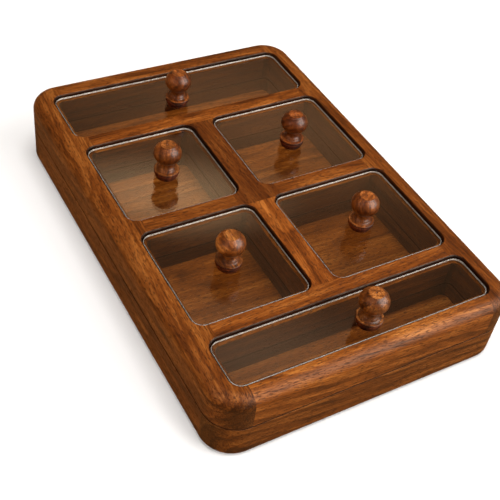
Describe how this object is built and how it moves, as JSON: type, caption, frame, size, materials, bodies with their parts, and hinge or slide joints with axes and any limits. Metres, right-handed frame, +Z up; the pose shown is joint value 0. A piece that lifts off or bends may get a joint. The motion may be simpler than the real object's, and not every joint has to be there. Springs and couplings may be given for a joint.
{
  "type": "lidded dried fruit box",
  "caption": "Shallow rounded wooden tray with deep separate compartments, each under a loose clear lid lifted by a turned wooden ball knob.",
  "frame": {"origin": "middle of the footprint, on the surface that the box stands on", "axes": "+X from the left side to the right side, +Y from the near end, with the short compartment, to the far end, with the deeper one, +Z up"},
  "size_m": [0.23, 0.337, 0.0817],
  "materials": {
    "tray_wood": "walnut under a satin clear lacquer",
    "floor_wood": "walnut under a thin satin lacquer",
    "knob_wood": "turned walnut, gloss lacquer",
    "clear_sheet": "clear cast acrylic sheet, its milled edges lightly rounded",
    "screw_steel": "zinc plated"
  },
  "bodies": {
    "tray": {"upper_left_rail": "tray_wood", "upper_right_rail": "tray_wood", "upper_near_rail": "tray_wood", "upper_far_rail": "tray_wood", "upper_near_divider": "tray_wood", "upper_middle_divider_left": "tray_wood", "upper_middle_divider_right": "tray_wood", "upper_far_divider": "tray_wood", "upper_near_centre_divider": "tray_wood", "upper_far_centre_divider": "tray_wood", "lower_near_rail": "tray_wood", "lower_far_rail": "tray_wood", "lower_left_rail": "tray_wood", "lower_right_rail": "tray_wood", "lower_near_divider": "tray_wood", "lower_middle_divider": "tray_wood", "lower_far_divider": "tray_wood", "lower_near_centre_divider": "tray_wood", "lower_far_centre_divider": "tray_wood", "floor_panel": "floor_wood"},
    "near_cover": {"near_lid": "clear_sheet", "near_lid_knob": "knob_wood", "near_lid_screw": "screw_steel"},
    "third_left_cover": {"third_left_lid": "clear_sheet", "third_left_lid_knob": "knob_wood", "third_left_lid_screw": "screw_steel"},
    "third_right_cover": {"third_right_lid": "clear_sheet", "third_right_lid_knob": "knob_wood", "third_right_lid_screw": "screw_steel"},
    "second_left_cover": {"second_left_lid": "clear_sheet", "second_left_lid_knob": "knob_wood", "second_left_lid_screw": "screw_steel"},
    "second_right_cover": {"second_right_lid": "clear_sheet", "second_right_lid_knob": "knob_wood", "second_right_lid_screw": "screw_steel"},
    "far_cover": {"far_lid": "clear_sheet", "far_lid_knob": "knob_wood", "far_lid_screw": "screw_steel"}
  },
  "joints": [
    {"name": "near_lid_lift", "type": "slide", "parent": "tray", "child": "near_cover", "axis": [0, 0, 1], "range_m": [0, 0.06]},
    {"name": "third_left_lid_lift", "type": "slide", "parent": "tray", "child": "third_left_cover", "axis": [0, 0, 1], "range_m": [0, 0.06]},
    {"name": "third_right_lid_lift", "type": "slide", "parent": "tray", "child": "third_right_cover", "axis": [0, 0, 1], "range_m": [0, 0.06]},
    {"name": "second_left_lid_lift", "type": "slide", "parent": "tray", "child": "second_left_cover", "axis": [0, 0, 1], "range_m": [0, 0.06]},
    {"name": "second_right_lid_lift", "type": "slide", "parent": "tray", "child": "second_right_cover", "axis": [0, 0, 1], "range_m": [0, 0.06]},
    {"name": "far_lid_lift", "type": "slide", "parent": "tray", "child": "far_cover", "axis": [0, 0, 1], "range_m": [0, 0.06]}
  ]
}
